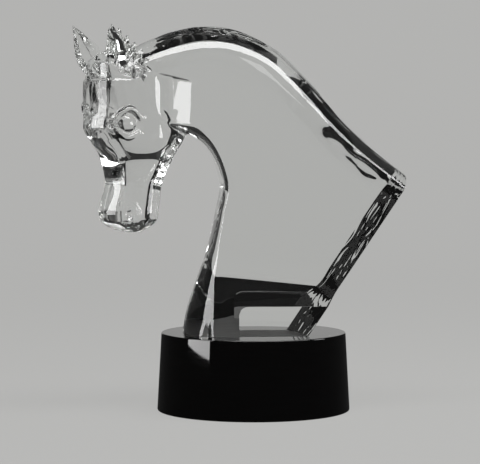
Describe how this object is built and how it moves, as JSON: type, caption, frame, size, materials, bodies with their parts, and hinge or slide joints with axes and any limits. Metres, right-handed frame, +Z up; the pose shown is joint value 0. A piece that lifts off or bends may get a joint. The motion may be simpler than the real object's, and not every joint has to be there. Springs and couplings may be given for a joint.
{
  "type": "horse head sculpture",
  "caption": "Clear crystal sculpture of a horse head with an arched neck, standing on a round black glass base.",
  "frame": {"origin": "centre of the round base's underside, on the surface it stands on", "axes": "+Z up; the neck lies in the XZ plane with the face towards -X and the back of the neck towards +X; the head turns towards -Y"},
  "size_m": [0.4241, 0.248, 0.4918],
  "materials": {
    "horse_head": "polished clear crystal",
    "base": "polished black glass"
  },
  "bodies": {
    "root": {"horse_head": "horse_head", "base": "base"}
  },
  "joints": []
}
